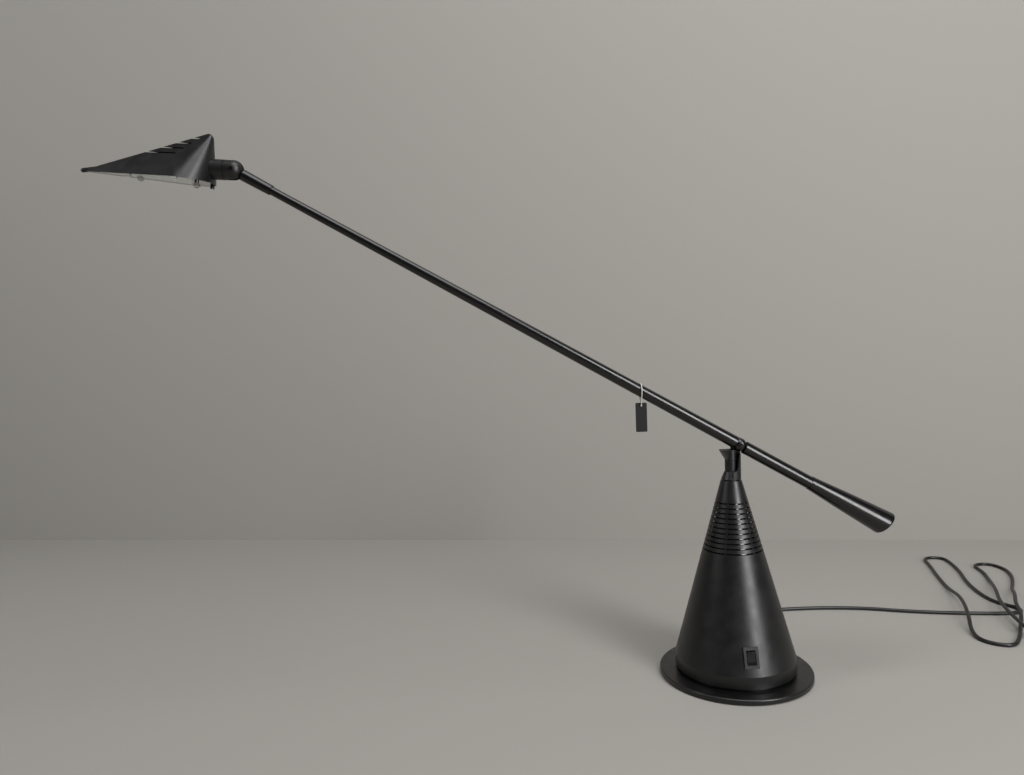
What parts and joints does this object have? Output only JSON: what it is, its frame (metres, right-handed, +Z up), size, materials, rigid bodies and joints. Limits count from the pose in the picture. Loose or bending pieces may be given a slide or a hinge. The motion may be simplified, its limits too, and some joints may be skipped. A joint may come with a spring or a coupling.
{
  "type": "counterweight desk lamp",
  "caption": "Counterweighted desk lamp: long tilting arm on a vented cone base with round foot, wedge-shaped head on a knuckle, tapered balance weight, mains switch and cord.",
  "frame": {"origin": "centre of the foot's underside, on the table", "axes": "+Z up, the lamp head reaches toward -X and the counterweight toward +X, the mains switch faces -Y and the cord leaves toward +Y"},
  "size_m": [1.1685, 0.4685, 0.5929],
  "materials": {
    "rubber_black": "soft matt",
    "lacquered_steel": "black lacquer, half gloss",
    "lacquered_aluminium": "black lacquer, half gloss",
    "textured_plastic": "fine texture, satin",
    "gloss_plastic_black": "smooth, glossy",
    "zinc_steel": "zinc plated",
    "core_steel": "varnished laminations",
    "copper_wire": "enamelled wire",
    "ivory_plastic": "moulded",
    "nickel_brass": "nickel plated",
    "black_acetal": "turned, satin",
    "white_nylon": "moulded",
    "bright_aluminium": "bright rolled sheet",
    "clear_glass": "clear",
    "clear_plastic": "clear moulded",
    "white_ceramic": "unglazed",
    "white_string": "spun thread",
    "black_card": "plain black card"
  },
  "bodies": {
    "base": {"foot_pad": "rubber_black", "foot_plate": "lacquered_steel", "spacer_ring": "textured_plastic", "cone_housing": "textured_plastic", "vent_guard": "gloss_plastic_black", "foot_screws": "zinc_steel", "switch_body": "gloss_plastic_black", "switch_pin": "zinc_steel", "transformer_core": "core_steel", "transformer_winding": "copper_wire", "transformer_strap": "zinc_steel", "strap_screws": "zinc_steel", "terminal_block": "ivory_plastic", "cord_outlet": "rubber_black", "mains_cord": "rubber_black", "plug_body": "gloss_plastic_black", "plug_pins": "nickel_brass", "swivel_bush": "black_acetal"},
    "rocker": {"switch_rocker": "gloss_plastic_black"},
    "neck": {"neck_post": "lacquered_aluminium", "neck_sleeve": "textured_plastic", "stop_block": "textured_plastic", "swivel_washer": "zinc_steel", "swivel_nut": "zinc_steel"},
    "arm": {"pivot_ball": "lacquered_aluminium", "pivot_washers": "white_nylon", "pivot_nut": "zinc_steel", "pivot_screw": "lacquered_steel", "front_tube": "lacquered_aluminium", "rear_tube": "lacquered_aluminium", "arm_lead": "rubber_black", "arm_ferrule": "lacquered_aluminium", "counterweight": "lacquered_steel", "weight_screw": "zinc_steel", "tag_string": "white_string"},
    "knuckle": {"knuckle_housing": "textured_plastic", "knuckle_pin": "lacquered_steel", "roll_screw": "zinc_steel"},
    "head": {"head_stub": "textured_plastic", "lamp_shade": "textured_plastic", "reflector": "bright_aluminium", "glass_pane": "clear_glass", "pane_clips": "clear_plastic", "pane_latches": "gloss_plastic_black", "lamp_holder": "white_ceramic", "holder_screws": "zinc_steel", "halogen_capsule": "clear_glass", "capsule_pins": "zinc_steel"},
    "tag": {"tag_card": "black_card"}
  },
  "joints": [
    {"name": "neck_swivel", "type": "hinge", "parent": "base", "child": "neck", "pos_m": [0, 0, 0.205], "axis": [0, 0, 1], "range_deg": [-170, 170]},
    {"name": "arm_tilt", "type": "hinge", "parent": "neck", "child": "arm", "pos_m": [0.0098, 0, 0.2474], "axis": [0, 1, 0], "range_deg": [-25, 4]},
    {"name": "head_tilt", "type": "hinge", "parent": "arm", "child": "knuckle", "pos_m": [-0.51243, 0, 0.55502], "axis": [0, 1, 0], "range_deg": [-60, 40]},
    {"name": "head_roll", "type": "hinge", "parent": "knuckle", "child": "head", "pos_m": [-0.51243, 0, 0.55502], "axis": [-0.9972, 0, 0.075], "range_deg": [-50, 50]},
    {"name": "switch_tip", "type": "hinge", "parent": "base", "child": "rocker", "pos_m": [0, -0.05699, 0.03923], "axis": [-1, 0, 0], "range_deg": [0, 18]},
    {"name": "tag_swing", "type": "hinge", "parent": "arm", "child": "tag", "pos_m": [-0.09403, 0, 0.29296], "axis": [0, 1, 0], "range_deg": [-12, 45]}
  ]
}
